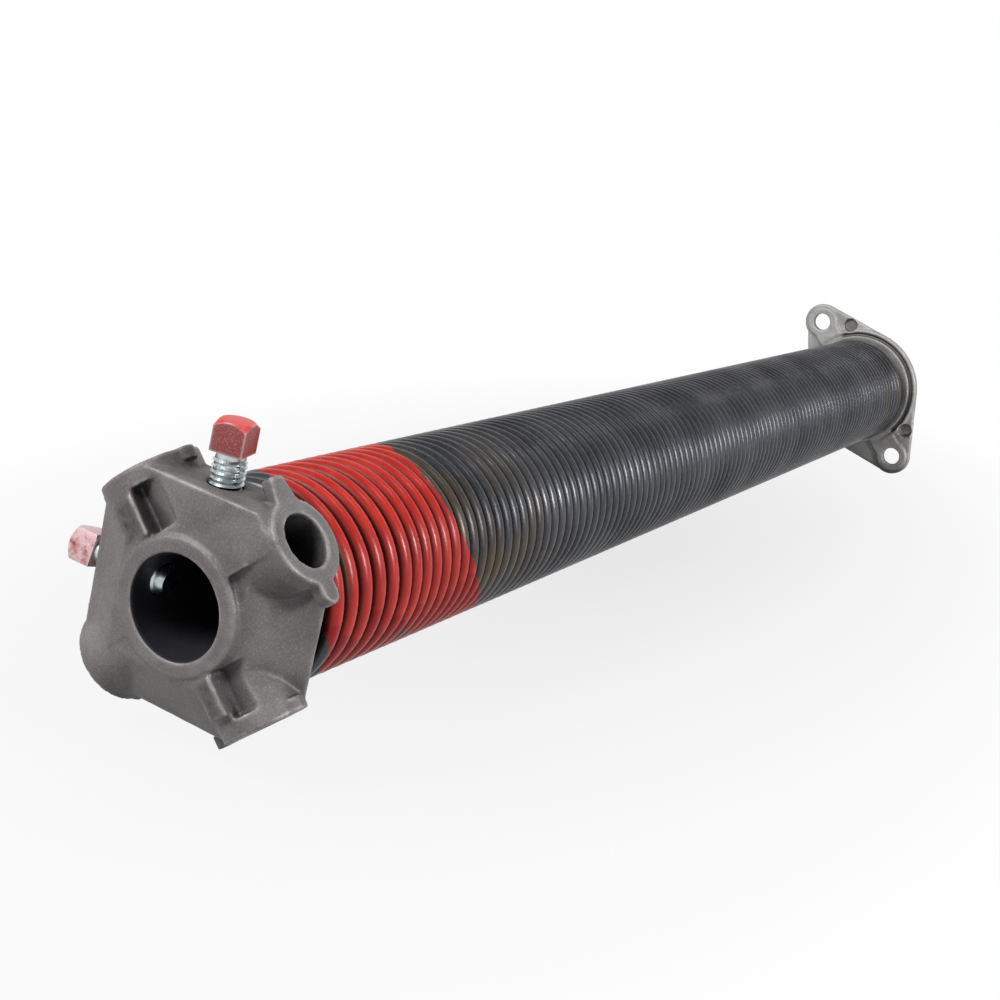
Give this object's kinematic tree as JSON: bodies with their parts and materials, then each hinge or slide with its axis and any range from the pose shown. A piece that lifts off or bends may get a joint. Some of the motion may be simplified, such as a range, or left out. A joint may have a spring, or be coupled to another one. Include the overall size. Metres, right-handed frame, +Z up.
{
  "type": "garage door torsion spring",
  "caption": "Close-wound torsion spring on a winding cone with bar sockets and set screws and a flanged stationary cone, used to balance a garage door.",
  "frame": {"origin": "centre of the stationary cone's mounting face on the spring's axis", "axes": "+X along the spring's axis to the winding cone, +Z up, through the upper set screw"},
  "size_m": [0.6623, 0.0927, 0.0957],
  "materials": {
    "coil_wire": "oil-tempered black wire with a red painted band",
    "cast_cone": "rough die-cast",
    "zinc_screw": "zinc plated, red paint on the head"
  },
  "bodies": {
    "root": {"coil": "coil_wire", "winding_cone": "cast_cone", "stationary_cone": "cast_cone", "set_screw_top": "zinc_screw", "set_screw_side": "zinc_screw"}
  },
  "joints": []
}
